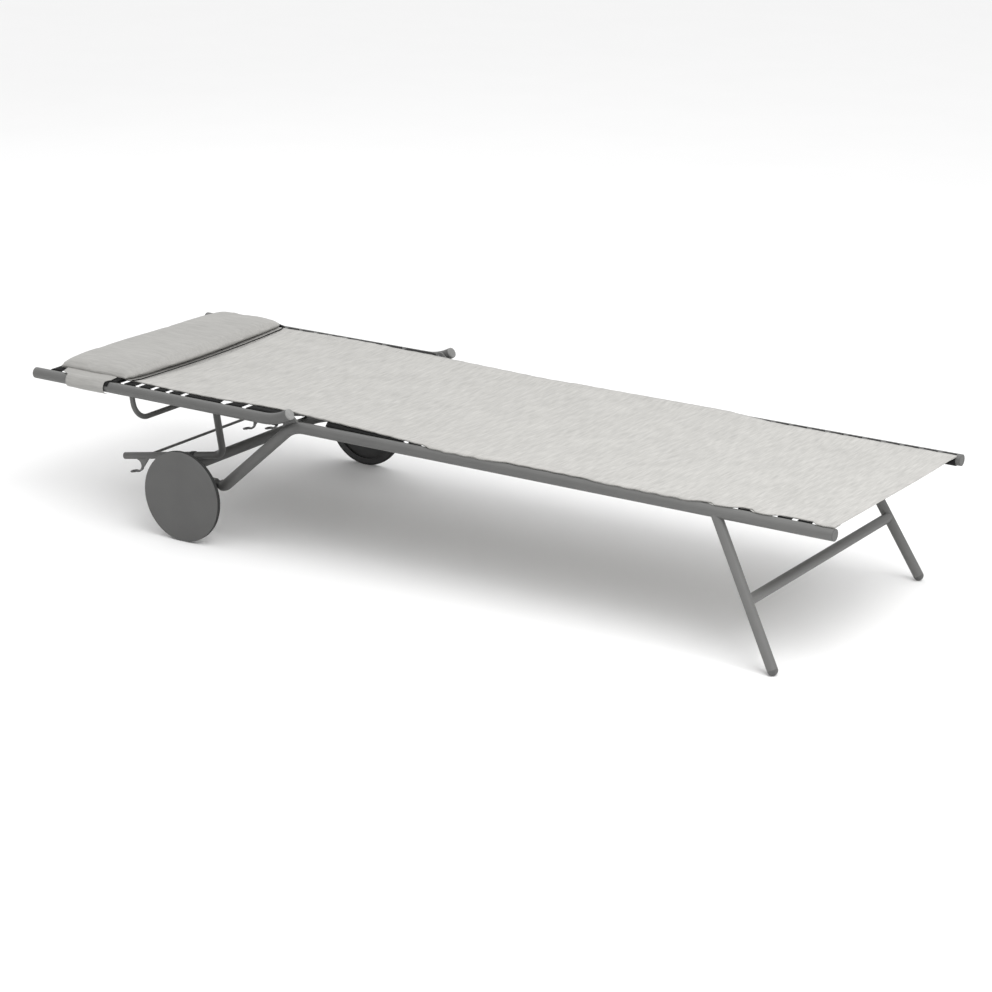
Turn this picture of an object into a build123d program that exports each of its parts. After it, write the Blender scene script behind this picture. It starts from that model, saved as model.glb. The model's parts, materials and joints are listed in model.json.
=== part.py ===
from build123d import *
import os
from math import asin, cos, degrees, radians, sin

os.makedirs("parts", exist_ok=True)

# Reclining sun lounger, millimetres.
# +X points to the foot end, +Z is up, and the origin is on the floor under
# the middle of the lounger. Left is +Y, the left hand of a person lying on it.

# ---- overall -------------------------------------------------------------
HALF_LENGTH = 1000.0
SIDES = (("right", -1), ("left", 1))

# ---- tubes ---------------------------------------------------------------
TUBE_R = 12.5
TUBE_WALL = 2.0
TUBE_BORE = TUBE_R - TUBE_WALL
LEG_R = 11.0
LEG_WALL = 1.8
PLUG_HEAD = 2.0
PLUG_INSERT = 14.0
PLUG_FIT = 0.2

# ---- main frame ----------------------------------------------------------
RAIL_Y = 288.0
RAIL_Z = 293.0
RAIL_BEND_X = -285.0
RAIL_BEND_R = 75.0
KNEE_X = -475.0
KNEE_R = 20.0
ARM_Z = 126.0
RAIL_TAIL_X = -483.5
ARM_START_X = -500.0
CROSS_X = -627.0
ARM_BEND_R = 60.0

# ---- front legs ----------------------------------------------------------
LEG_TOP_X = 741.0
LEG_FOOT_X = 898.6
LEG_FOOT_Y = 328.0
LEG_FOOT_Z = 10.4
LEG_BAR_Z = 132.5

# ---- wheels --------------------------------------------------------------
WHEEL_X = -552.5
WHEEL_R = 102.0
WHEEL_FACE_Y = 348.0
FACE_T = 3.0
TYRE_T = 4.0
TYRE_W = 9.0
WEB_T = 4.0
HUB_R = 20.0
HUB_INNER_Y = 314.0
AXLE_R = 6.0
AXLE_CLEARANCE = 0.06
BUSH_R = 9.0
BRACKET_Y = (290.0, 306.0)
CLIP_Y = 336.0
CLIP_T = 1.5
CLIP_R = 9.0

# ---- backrest ------------------------------------------------------------
BACK_Y = 305.0
BACK_Z = 305.0
BACK_RISE_R = 136.0
BACK_RISE_DEG = 30.0
BACK_CORNER_X = -313.6
BACK_TAIL = 37.5
HINGE_X = -299.0
HINGE_Z = 315.0
HINGE_R = 4.0
LUG_T = 5.0
LUG_R = 11.0
BOW_X = -711.0
BOW_TOP_X = -722.0
BOW_Y = 303.0
BOW_Z = 240.0
BOW_R = 6.0
BOW_BEND_R = 40.0

# ---- prop frame ----------------------------------------------------------
PROP_Y = 205.0
PROP_R = 8.0
PROP_TILT = 10.07
PROP_CORNER_X = -545.5
PROP_CORNER_Z = 162.9
PROP_POST = 139.5
PROP_BAR = 289.5
PROP_BEND_R = 18.0
PIVOT_TUBE_R = 9.0
SLEEVE_R = 13.0
SLEEVE_HALF = 20.0
CATCH_S = (190.0, 258.0)
CATCH_T = 6.0
CATCH_WIRE = 4.0
ROD_S = 209.0
ROD_R = 3.2

# ---- sling and pillow ----------------------------------------------------
SEAT_SLING_HALF = 292.0
BACK_SLING_HALF = 277.0
SLING_T = 3.0
SEAT_SLING_X = (-256.0, 998.0)
SEAT_SLING_Z = 307.2
BACK_SLING_X = (-950.0, -276.0)
BACK_SLING_Z = 319.4
TAB_T = 1.6
TAB_W = 30.0
TAB_PITCH = 43.05
TAB_GAP = 0.15
SEAT_TAB_REACH = 266.0
BACK_TAB_REACH = 260.0
SEAT_TAB_FIRST = 27.5
SEAT_TAB_COUNT = 23
SEAT_TAB_Z = 303.5
SEAT_WIDE_TABS = [(-203.0, -1.0)]
BACK_TAB_FIRST = -944.75
BACK_TAB_COUNT = 9
BACK_TAB_Z = 316.6
BACK_WIDE_TABS = [(-572.0, -476.0), (-458.0, -415.5), (-402.5, -352.0)]
PILLOW_X = (-954.0, -724.0)
PILLOW_HALF = 290.0
PILLOW_Z = (321.2, 346.0)
FLAP_X = (-900.0, -782.0)
FLAP_GAP = 2.3
FLAP_T = 1.6


def save(piece, label):
    """Label a finished builder and write its STEP file."""
    piece.part.label = label
    export_step(piece.part, f"parts/{label}.step")


def normal_plane(line, end):
    """Plane square to a line at its start (0) or end (1)."""
    return Plane(origin=line @ end, z_dir=line % end)


def prop_point(along, up):
    """X and Z of a point of the prop frame, from its corner, along the bar and square to it."""
    tilt = radians(PROP_TILT)
    x = PROP_CORNER_X - along * cos(tilt) - up * sin(tilt)
    z = PROP_CORNER_Z - along * sin(tilt) + up * cos(tilt)
    return x, z


PIVOT_X, PIVOT_Z = prop_point(0, PROP_POST)


def rail_points(side):
    """Corner points of a side rail's centre line."""
    y = side * RAIL_Y
    return [
        (HALF_LENGTH - PLUG_HEAD, y, RAIL_Z),
        (RAIL_BEND_X, y, RAIL_Z),
        (KNEE_X, y, ARM_Z),
        (RAIL_TAIL_X, y, ARM_Z),
    ]


def back_points(side):
    """Corner points of a backrest rail's centre line, which turns up at the hinge end."""
    y = side * BACK_Y
    rise = radians(BACK_RISE_DEG)
    tail_x = BACK_CORNER_X + BACK_TAIL * cos(rise)
    tail_z = BACK_Z + BACK_TAIL * sin(rise)
    return [
        (-HALF_LENGTH + PLUG_HEAD, y, BACK_Z),
        (BACK_CORNER_X, y, BACK_Z),
        (tail_x, y, tail_z),
    ]


def leg_ends(side):
    """Top and foot of a front leg's centre line."""
    top = Vector(LEG_TOP_X, side * RAIL_Y, RAIL_Z)
    foot = Vector(LEG_FOOT_X, side * LEG_FOOT_Y, LEG_FOOT_Z)
    return top, foot


# ---- main frame: side rails and their foot-end plugs ----------------------
def side_rail(name, side):
    with BuildPart() as rail:
        with BuildLine() as path:
            centre = FilletPolyline(*rail_points(side), radius=[RAIL_BEND_R, KNEE_R])
        with BuildSketch(normal_plane(centre, 0)):
            Circle(TUBE_R)
            Circle(TUBE_BORE, mode=Mode.SUBTRACT)
        sweep(path=centre)
    save(rail, f"side_rail_{name}")


def end_plug(label, plane, tube_radius, bore):
    """Flat tube plug: a thin head outside the tube and an insert inside it."""
    with BuildPart() as plug:
        with BuildSketch(plane):
            Circle(tube_radius)
        extrude(amount=PLUG_HEAD)
        fillet(plug.faces().sort_by(SortBy.AREA)[-1].edges(), PLUG_HEAD * 0.4)
        with BuildSketch(plane):
            Circle(bore - PLUG_FIT)
        extrude(amount=-PLUG_INSERT)
    save(plug, label)


def rail_plug(name, side):
    end = Plane(origin=(HALF_LENGTH - PLUG_HEAD, side * RAIL_Y, RAIL_Z), z_dir=(1, 0, 0))
    end_plug(f"rail_plug_{name}", end, TUBE_R, TUBE_BORE)


# ---- front legs -----------------------------------------------------------
def front_leg(name, side):
    top, foot = leg_ends(side)
    with BuildPart() as leg:
        with BuildSketch(Plane(origin=top, z_dir=foot - top)):
            Circle(LEG_R)
            Circle(LEG_R - LEG_WALL, mode=Mode.SUBTRACT)
        extrude(amount=(foot - top).length)
        with BuildSketch(Plane.YZ.offset(LEG_TOP_X - 4 * TUBE_R)):
            with Locations((side * RAIL_Y, RAIL_Z)):
                Circle(TUBE_R)
        extrude(amount=8 * TUBE_R, mode=Mode.SUBTRACT)
        # keep only what hangs below the rail
        with BuildSketch(Plane.XY.offset(RAIL_Z)):
            with Locations((LEG_TOP_X, side * RAIL_Y)):
                Rectangle(8 * TUBE_R, 8 * TUBE_R)
        extrude(amount=4 * TUBE_R, mode=Mode.SUBTRACT)
    save(leg, f"front_leg_{name}")


def foot_cap(name, side):
    top, foot = leg_ends(side)
    with BuildPart(Plane(origin=foot, z_dir=foot - top)) as cap:
        Sphere(LEG_R, arc_size1=0, align=(Align.CENTER, Align.CENTER, Align.MIN))
        Cylinder(
            LEG_R - LEG_WALL - PLUG_FIT,
            PLUG_INSERT,
            align=(Align.CENTER, Align.CENTER, Align.MAX),
        )
        # small flat where the cap stands on the floor
        with BuildSketch(Plane.XY):
            with Locations((foot.X, foot.Y)):
                Circle(2 * LEG_R)
        extrude(amount=-LEG_R, mode=Mode.SUBTRACT)
    save(cap, f"foot_cap_{name}")


def leg_cross_bar():
    top, foot = leg_ends(1)
    share = (RAIL_Z - LEG_BAR_Z) / (top.Z - foot.Z)
    meet = top + (foot - top) * share
    with BuildPart() as bar:
        with BuildSketch(Plane.XZ.offset(-meet.Y)):
            with Locations((meet.X, LEG_BAR_Z)):
                Circle(LEG_R)
                Circle(LEG_R - LEG_WALL, mode=Mode.SUBTRACT)
        extrude(amount=2 * meet.Y)
        for _, side in SIDES:
            top, foot = leg_ends(side)
            with BuildSketch(Plane(origin=top, z_dir=foot - top)):
                Circle(LEG_R)
            extrude(amount=(foot - top).length, mode=Mode.SUBTRACT)
            # trim what is left outside the leg
            with BuildSketch(Plane.XZ.offset(-side * (meet.Y + LEG_R / 2))):
                with Locations((meet.X, LEG_BAR_Z)):
                    Circle(LEG_R * 2)
            extrude(amount=LEG_R / 2, both=True, mode=Mode.SUBTRACT)
    save(bar, "leg_cross_bar")


# ---- rear frame: two arms and the cross tube in one bent tube --------------
SCREW_X = (ARM_START_X - 12.0, ARM_START_X - 28.0)
SCREW_R = 2.0
SCREW_HEAD_R = 4.0
SCREW_HEAD_T = 2.4
SPIGOT_R = 9.5
SPIGOT_IN_RAIL = 5.0
SPIGOT_IN_ARM = 40.0
SCREW_LENGTH = 8.0


def rear_frame():
    points = [
        (ARM_START_X, -RAIL_Y, ARM_Z),
        (CROSS_X, -RAIL_Y, ARM_Z),
        (CROSS_X, RAIL_Y, ARM_Z),
        (ARM_START_X, RAIL_Y, ARM_Z),
    ]
    with BuildPart() as frame:
        with BuildLine() as path:
            centre = FilletPolyline(*points, radius=ARM_BEND_R)
        with BuildSketch(normal_plane(centre, 0)):
            Circle(TUBE_R)
            Circle(TUBE_BORE, mode=Mode.SUBTRACT)
        sweep(path=centre)
        # screw holes in the inner walls of the arms
        for _, side in SIDES:
            with BuildSketch(Plane.XZ.offset(-side * (RAIL_Y - TUBE_R - 1))):
                with Locations(*[(x, ARM_Z) for x in SCREW_X]):
                    Circle(SCREW_R)
            extrude(amount=-side * (TUBE_WALL + 2), mode=Mode.SUBTRACT)
    save(frame, "rear_frame")


def spigot(name, side):
    start = RAIL_TAIL_X + SPIGOT_IN_RAIL
    with BuildPart() as pin:
        with BuildSketch(Plane.YZ.offset(start)):
            with Locations((side * RAIL_Y, ARM_Z)):
                Circle(SPIGOT_R)
        extrude(amount=-(start - ARM_START_X))
        with BuildSketch(Plane.YZ.offset(ARM_START_X)):
            with Locations((side * RAIL_Y, ARM_Z)):
                Circle(TUBE_BORE - PLUG_FIT)
        extrude(amount=-SPIGOT_IN_ARM)
        chamfer(pin.edges().filter_by(GeomType.CIRCLE).sort_by(Axis.X)[0], 1)
        chamfer(pin.edges().filter_by(GeomType.CIRCLE).sort_by(Axis.X)[-1], 1)
        with BuildSketch(Plane.XZ.offset(-side * (RAIL_Y - TUBE_R))):
            with Locations(*[(x, ARM_Z) for x in SCREW_X]):
                Circle(SCREW_R)
        extrude(amount=-side * SCREW_LENGTH, mode=Mode.SUBTRACT)
    save(pin, f"spigot_{name}")


def spigot_screws():
    with BuildPart() as screws:
        for _, side in SIDES:
            with BuildSketch(Plane.XZ.offset(-side * (RAIL_Y - TUBE_R + 0.6))):
                with Locations(*[(x, ARM_Z) for x in SCREW_X]):
                    Circle(SCREW_R)
            extrude(amount=-side * (SCREW_LENGTH - 0.8))
            with BuildSketch(Plane.XZ.offset(-side * (RAIL_Y - TUBE_R))):
                with Locations(*[(x, ARM_Z) for x in SCREW_X]):
                    Circle(SCREW_HEAD_R)
            extrude(amount=side * SCREW_HEAD_T)
    save(screws, "spigot_screws")


# ---- wheel brackets and axles ----------------------------------------------
BRACKET_BOSS_R = 13.0
BRACKET_FOOT_Z = 131.0


def wheel_bracket(name, side):
    inner, outer = BRACKET_Y
    with BuildPart() as bracket:
        with BuildSketch(Plane.XZ.offset(-side * inner)):
            with Locations((WHEEL_X, WHEEL_R)):
                Circle(BRACKET_BOSS_R)
            with BuildLine():
                Polyline(
                    (WHEEL_X - BRACKET_BOSS_R, WHEEL_R),
                    (WHEEL_X + BRACKET_BOSS_R, WHEEL_R),
                    (WHEEL_X + 1.7 * BRACKET_BOSS_R, BRACKET_FOOT_Z),
                    (WHEEL_X - 1.7 * BRACKET_BOSS_R, BRACKET_FOOT_Z),
                    close=True,
                )
            make_face()
        extrude(amount=-side * (outer - inner))
        with BuildSketch(Plane.XZ.offset(-side * outer)):
            with Locations((WHEEL_X, WHEEL_R)):
                Circle(BUSH_R)
        extrude(amount=-side * 6)
        with BuildSketch(Plane.YZ.offset(WHEEL_X - 4 * TUBE_R)):
            with Locations((side * RAIL_Y, ARM_Z)):
                Circle(TUBE_R)
        extrude(amount=8 * TUBE_R, mode=Mode.SUBTRACT)
        with BuildSketch(Plane.XZ.offset(-side * (inner - 1))):
            with Locations((WHEEL_X, WHEEL_R)):
                Circle(AXLE_R)
        extrude(amount=-side * (outer - inner + 10), mode=Mode.SUBTRACT)
    save(bracket, f"wheel_bracket_{name}")


AXLE_HEAD_R = 9.5
AXLE_HEAD_T = 6.0
AXLE_END_Y = 340.0
GROOVE_DEPTH = 1.0


def axle(name, side):
    inner = BRACKET_Y[0]
    with BuildPart() as pin:
        with BuildSketch(Plane.XZ.offset(-side * inner)):
            with Locations((WHEEL_X, WHEEL_R)):
                Circle(AXLE_R)
        extrude(amount=-side * (AXLE_END_Y - inner))
        with BuildSketch(Plane.XZ.offset(-side * inner)):
            with Locations((WHEEL_X, WHEEL_R)):
                RegularPolygon(AXLE_HEAD_R, 6)
        extrude(amount=side * AXLE_HEAD_T)
        # groove for the retaining clip
        with BuildSketch(Plane.XZ.offset(-side * CLIP_Y)):
            with Locations((WHEEL_X, WHEEL_R)):
                Circle(AXLE_R + 1)
                Circle(AXLE_R - GROOVE_DEPTH, mode=Mode.SUBTRACT)
        extrude(amount=-side * CLIP_T, mode=Mode.SUBTRACT)
    save(pin, f"axle_{name}")


def axle_clips():
    with BuildPart() as clips:
        for _, side in SIDES:
            with BuildSketch(Plane.XZ.offset(-side * CLIP_Y)):
                with Locations((WHEEL_X, WHEEL_R)):
                    Circle(CLIP_R)
                    Circle(AXLE_R - GROOVE_DEPTH, mode=Mode.SUBTRACT)
                with Locations((WHEEL_X, WHEEL_R - CLIP_R)):
                    Rectangle(AXLE_R, CLIP_R * 1.2, mode=Mode.SUBTRACT)
            extrude(amount=-side * CLIP_T)
    save(clips, "axle_clips")


# ---- wheels -----------------------------------------------------------------
FACE_BEVEL = 1.2
RIM_T = 12.0
POCKET_R = 10.5


def wheel(name, side):
    back_of_face = WHEEL_FACE_Y - FACE_T

    with BuildPart() as face:
        with BuildSketch(Plane.XZ.offset(-side * back_of_face)):
            with Locations((WHEEL_X, WHEEL_R)):
                Circle(WHEEL_R - 0.5)
        extrude(amount=-side * FACE_T)
        outer_edge = face.faces().sort_by(Axis.Y)[-1 if side > 0 else 0].edges()
        fillet(outer_edge, FACE_BEVEL)
    save(face, f"wheel_face_{name}")

    with BuildPart() as tyre:
        with BuildSketch(Plane.XZ.offset(-side * (back_of_face - TYRE_W))):
            with Locations((WHEEL_X, WHEEL_R)):
                Circle(WHEEL_R)
                Circle(WHEEL_R - TYRE_T, mode=Mode.SUBTRACT)
        extrude(amount=-side * TYRE_W)
        fillet(tyre.edges().group_by(SortBy.LENGTH)[-1], 1.0)
    save(tyre, f"wheel_tyre_{name}")

    with BuildPart() as body:
        with BuildSketch(Plane.XZ.offset(-side * (back_of_face - WEB_T))):
            with Locations((WHEEL_X, WHEEL_R)):
                Circle(WHEEL_R - TYRE_T)
        extrude(amount=-side * WEB_T)
        with BuildSketch(Plane.XZ.offset(-side * (back_of_face - TYRE_W))):
            with Locations((WHEEL_X, WHEEL_R)):
                Circle(WHEEL_R - TYRE_T)
                Circle(WHEEL_R - TYRE_T - RIM_T, mode=Mode.SUBTRACT)
        extrude(amount=-side * TYRE_W)
        with BuildSketch(Plane.XZ.offset(-side * HUB_INNER_Y)):
            with Locations((WHEEL_X, WHEEL_R)):
                Circle(HUB_R)
        extrude(amount=-side * (back_of_face - HUB_INNER_Y))
        with BuildSketch(Plane.XZ.offset(-side * (HUB_INNER_Y - 1))):
            with Locations((WHEEL_X, WHEEL_R)):
                Circle(BUSH_R)
        extrude(amount=-side * (CLIP_Y - 1.5 - HUB_INNER_Y + 1), mode=Mode.SUBTRACT)
        with BuildSketch(Plane.XZ.offset(-side * (CLIP_Y - 1.5))):
            with Locations((WHEEL_X, WHEEL_R)):
                Circle(POCKET_R)
        extrude(amount=-side * (back_of_face - CLIP_Y + 1.5), mode=Mode.SUBTRACT)
    save(body, f"wheel_body_{name}")

    with BuildPart() as bush:
        with BuildSketch(Plane.XZ.offset(-side * HUB_INNER_Y)):
            with Locations((WHEEL_X, WHEEL_R)):
                Circle(BUSH_R)
                Circle(AXLE_R + AXLE_CLEARANCE, mode=Mode.SUBTRACT)
        extrude(amount=-side * (CLIP_Y - 1.5 - HUB_INNER_Y))
    save(bush, f"wheel_bush_{name}")


# ---- backrest hinge -----------------------------------------------------------
BUSH_WALL = 2.0
HINGE_CLEARANCE = 0.05
LUG_Y = RAIL_Y
WASHER_R = 8.5
BOLT_HEAD_T = 5.0
BOLT_REACH = 19.0


def hinge_lug(name, side):
    """Plate that stands on the rail at its bend and carries the hinge bolt."""
    with BuildPart() as lug:
        with BuildSketch(Plane.XZ.offset(-side * LUG_Y)):
            with Locations((HINGE_X, HINGE_Z)):
                Circle(LUG_R)
            with BuildLine():
                Polyline(
                    (HINGE_X - LUG_R, HINGE_Z),
                    (HINGE_X + LUG_R * 0.7, HINGE_Z + LUG_R * 0.7),
                    (HINGE_X + 40, RAIL_Z),
                    (HINGE_X - LUG_R, RAIL_Z - 15),
                    close=True,
                )
            make_face()
        extrude(amount=LUG_T / 2, both=True)
        with BuildSketch(Plane.XZ.offset(-side * LUG_Y)):
            with Locations((HINGE_X, HINGE_Z)):
                Circle(HINGE_R)
        extrude(amount=LUG_T, both=True, mode=Mode.SUBTRACT)
        with BuildLine() as path:
            centre = FilletPolyline(*rail_points(side), radius=[RAIL_BEND_R, KNEE_R])
        with BuildSketch(normal_plane(centre, 0)):
            Circle(TUBE_R)
        sweep(path=centre, mode=Mode.SUBTRACT)
    save(lug, f"hinge_lug_{name}")


def hinge_bolt(name, side):
    head_y = LUG_Y - LUG_T / 2
    with BuildPart() as bolt:
        with BuildSketch(Plane.XZ.offset(-side * head_y)):
            with Locations((HINGE_X, HINGE_Z)):
                Circle(HINGE_R)
        extrude(amount=-side * (LUG_T + BOLT_REACH))
        with BuildSketch(Plane.XZ.offset(-side * head_y)):
            with Locations((HINGE_X, HINGE_Z)):
                RegularPolygon(HINGE_R * 1.85, 6)
        extrude(amount=side * BOLT_HEAD_T)
    save(bolt, f"hinge_bolt_{name}")


def hinge_washers():
    start = LUG_Y + LUG_T / 2
    with BuildPart() as washers:
        for _, side in SIDES:
            with BuildSketch(Plane.XZ.offset(-side * start)):
                with Locations((HINGE_X, HINGE_Z)):
                    Circle(WASHER_R)
                    Circle(HINGE_R, mode=Mode.SUBTRACT)
            extrude(amount=-side * 1.6)
    save(washers, "hinge_washers")


# ---- backrest frame ------------------------------------------------------------
def backrest_rail(name, side):
    with BuildPart() as rail:
        with BuildLine() as path:
            centre = FilletPolyline(*back_points(side), radius=BACK_RISE_R)
        with BuildSketch(normal_plane(centre, 0)):
            Circle(TUBE_R)
            Circle(TUBE_BORE, mode=Mode.SUBTRACT)
        sweep(path=centre)
        # hole for the hinge bush, in the inner wall only
        with BuildSketch(Plane.XZ.offset(-side * (BACK_Y - TUBE_R - 1))):
            with Locations((HINGE_X, HINGE_Z)):
                Circle(HINGE_R + BUSH_WALL)
        extrude(amount=-side * TUBE_R, mode=Mode.SUBTRACT)
    save(rail, f"backrest_rail_{name}")


def hinge_bush(name, side):
    with BuildPart() as bush:
        with BuildSketch(Plane.XZ.offset(-side * (BACK_Y - TUBE_R + 0.2))):
            with Locations((HINGE_X, HINGE_Z)):
                Circle(HINGE_R + BUSH_WALL)
                Circle(HINGE_R + HINGE_CLEARANCE, mode=Mode.SUBTRACT)
        extrude(amount=-side * (BOLT_REACH - 0.5))
    save(bush, f"hinge_bush_{name}")


HINGE_CAP_T = 4.0


def backrest_plugs(name, side):
    head = Plane(origin=(-HALF_LENGTH + PLUG_HEAD, side * BACK_Y, BACK_Z), z_dir=(-1, 0, 0))
    end_plug(f"head_plug_{name}", head, TUBE_R, TUBE_BORE)
    before, tail = back_points(side)[1:]
    slope = Vector(*tail) - Vector(*before)
    with BuildPart(Plane(origin=tail, z_dir=slope)) as cap:
        Cylinder(TUBE_R, HINGE_CAP_T, align=(Align.CENTER, Align.CENTER, Align.MIN))
        fillet(cap.edges().filter_by(GeomType.CIRCLE).sort_by(Axis.X)[-1], HINGE_CAP_T * 0.8)
        Cylinder(
            TUBE_BORE - 3 * PLUG_FIT,
            PLUG_INSERT / 2,
            align=(Align.CENTER, Align.CENTER, Align.MAX),
        )
    save(cap, f"hinge_cap_{name}")


def backrest_bow():
    """Bowed tube under the head of the backrest, leaning back a little."""
    points = [
        (BOW_TOP_X, -BOW_Y, BACK_Z),
        (BOW_X, -BOW_Y, BOW_Z),
        (BOW_X, BOW_Y, BOW_Z),
        (BOW_TOP_X, BOW_Y, BACK_Z),
    ]
    with BuildPart() as bow:
        with BuildLine() as path:
            centre = FilletPolyline(*points, radius=BOW_BEND_R)
        with BuildSketch(normal_plane(centre, 0)):
            Circle(BOW_R)
        sweep(path=centre)
        for _, side in SIDES:
            with BuildSketch(Plane.YZ.offset(BOW_TOP_X - 3 * BOW_R)):
                with Locations((side * BACK_Y, BACK_Z)):
                    Circle(TUBE_R)
            extrude(amount=6 * BOW_R, mode=Mode.SUBTRACT)
    save(bow, "backrest_bow")


PIVOT_TUBE_HALF = 296.0
COLLAR_T = 4.0
COLLAR_GAP = 0.5


def pivot_tube():
    """Cross tube of the backrest that the prop frame swings on."""
    with BuildPart() as tube:
        with BuildSketch(Plane.XZ.offset(-PIVOT_TUBE_HALF)):
            with Locations((PIVOT_X, PIVOT_Z)):
                Circle(PIVOT_TUBE_R)
                Circle(PIVOT_TUBE_R - TUBE_WALL, mode=Mode.SUBTRACT)
        extrude(amount=2 * PIVOT_TUBE_HALF)
        for _, side in SIDES:
            with BuildSketch(Plane.YZ.offset(PIVOT_X - 2 * TUBE_R)):
                with Locations((side * BACK_Y, BACK_Z)):
                    Circle(TUBE_R)
            extrude(amount=4 * TUBE_R, mode=Mode.SUBTRACT)
    save(tube, "pivot_tube")


def pivot_collars():
    with BuildPart() as collars:
        for _, side in SIDES:
            for edge in (-1, 1):
                start = side * PROP_Y + edge * (SLEEVE_HALF + COLLAR_GAP)
                with BuildSketch(Plane.XZ.offset(-start)):
                    with Locations((PIVOT_X, PIVOT_Z)):
                        Circle(SLEEVE_R - 0.5)
                        Circle(PIVOT_TUBE_R, mode=Mode.SUBTRACT)
                extrude(amount=-edge * COLLAR_T)
    save(collars, "pivot_collars")


# ---- prop frame ------------------------------------------------------------------
def prop_arm(name, side):
    """Post and bar in one bent rod, hung from a sleeve on the pivot tube."""
    y = side * PROP_Y
    top_x, top_z = prop_point(0, PROP_POST - PIVOT_TUBE_R - 2)
    corner_x, corner_z = prop_point(0, 0)
    end_x, end_z = prop_point(PROP_BAR, 0)
    points = [(top_x, y, top_z), (corner_x, y, corner_z), (end_x, y, end_z)]
    with BuildPart() as arm:
        with BuildLine() as path:
            centre = FilletPolyline(*points, radius=PROP_BEND_R)
        with BuildSketch(normal_plane(centre, 0)):
            Circle(PROP_R)
        sweep(path=centre)
        with BuildSketch(Plane.XZ.offset(-y)):
            with Locations((PIVOT_X, PIVOT_Z)):
                Circle(SLEEVE_R)
        extrude(amount=SLEEVE_HALF, both=True)
        with BuildSketch(Plane.XZ.offset(-y)):
            with Locations((PIVOT_X, PIVOT_Z)):
                Circle(PIVOT_TUBE_R + AXLE_CLEARANCE)
        extrude(amount=SLEEVE_HALF + 1, both=True, mode=Mode.SUBTRACT)
    save(arm, f"prop_arm_{name}")


def prop_plane(side):
    """Plane of a prop arm: local x runs along the bar to its free end, local y runs square to it."""
    tilt = radians(PROP_TILT)
    along = (-cos(tilt), 0, -sin(tilt))
    return Plane(
        origin=(PROP_CORNER_X, side * PROP_Y, PROP_CORNER_Z), x_dir=along, z_dir=(0, 1, 0)
    )


CATCH_SEAT_R = TUBE_R + 0.5
CATCH_SEAT_D = PROP_R + CATCH_SEAT_R
CATCH_LIP = 3.0
EYE_SHIFT = 13.0
EYE_R = 8.0
EYE_WIRE_R = 1.8
TOE_LENGTH = 8.0
TOE_ROOT = 4.0
GUSSET = 44.0
NECK = 0.75
NECK_DEPTH = 0.6


def catch_hooks(name, side):
    """Two open hooks under the bar that drop over the rear cross tube, each ending in an eye."""
    plane = prop_plane(side)
    down = 1 if plane.to_local_coords(Vector(PROP_CORNER_X, side * PROP_Y, 0)).Y > 0 else -1
    outer = CATCH_SEAT_R + CATCH_WIRE
    eye_depth = CATCH_SEAT_D + CATCH_SEAT_R + CATCH_WIRE / 2
    with BuildPart() as hooks:
        for seat in CATCH_S:
            neck = (seat - outer * NECK, down * (CATCH_SEAT_D + outer * NECK_DEPTH))
            with BuildSketch(plane):
                with BuildLine():
                    Polyline(
                        (seat - GUSSET, 0),
                        neck,
                        (seat, down * CATCH_SEAT_D),
                        (seat, 0),
                        close=True,
                    )
                make_face()
                with Locations((seat, down * CATCH_SEAT_D)):
                    Circle(outer)
                    Circle(CATCH_SEAT_R, mode=Mode.SUBTRACT)
                # open the mouth towards the free end of the bar
                with Locations((seat - CATCH_LIP + outer, down * CATCH_SEAT_D)):
                    Rectangle(2 * outer, 3 * outer, mode=Mode.SUBTRACT)
                # short toe that carries the eye
                with Locations((seat - TOE_ROOT + TOE_LENGTH / 2, down * eye_depth)):
                    Rectangle(TOE_LENGTH, CATCH_WIRE)
            extrude(amount=CATCH_T / 2, both=True)
            # eye that finishes the tip
            eye = plane.from_local_coords(Vector(seat + EYE_SHIFT, down * eye_depth, 0))
            with Locations(Plane(origin=eye, x_dir=plane.x_dir, z_dir=plane.y_dir)):
                Torus(EYE_R, EYE_WIRE_R)
        # cope the hooks to the underside of the bar
        bar_end = plane.from_local_coords(Vector(PROP_BAR, 0, 0))
        corner = plane.from_local_coords(Vector(0, 0, 0))
        with BuildSketch(Plane(origin=corner, z_dir=bar_end - corner)):
            Circle(PROP_R)
        extrude(amount=PROP_BAR, mode=Mode.SUBTRACT)
        with BuildSketch(plane):
            with Locations((PROP_BAR / 2, -down * 2 * PROP_R)):
                Rectangle(PROP_BAR, 4 * PROP_R)
        extrude(amount=CATCH_T, both=True, mode=Mode.SUBTRACT)
    save(hooks, f"catch_hooks_{name}")


ROD_SEAT = 7.0


def prop_rod():
    """Thin rod that ties the two bars together and serves as the grip."""
    rod_x, rod_z = prop_point(ROD_S, PROP_R + ROD_R - ROD_SEAT)
    half = PROP_Y
    with BuildPart() as rod:
        with BuildSketch(Plane.XZ.offset(-half)):
            with Locations((rod_x, rod_z)):
                Circle(ROD_R)
        extrude(amount=2 * half)
        for _, side in SIDES:
            plane = prop_plane(side)
            corner = plane.from_local_coords(Vector(0, 0, 0))
            bar_end = plane.from_local_coords(Vector(PROP_BAR, 0, 0))
            with BuildSketch(Plane(origin=corner, z_dir=bar_end - corner)):
                Circle(PROP_R)
            extrude(amount=PROP_BAR, mode=Mode.SUBTRACT)
    save(rod, "prop_rod")


PAD_S = 86.0
PAD_R = 9.2
PAD_HALF = 6.0
BAR_PLUG_T = 1.6


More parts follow.
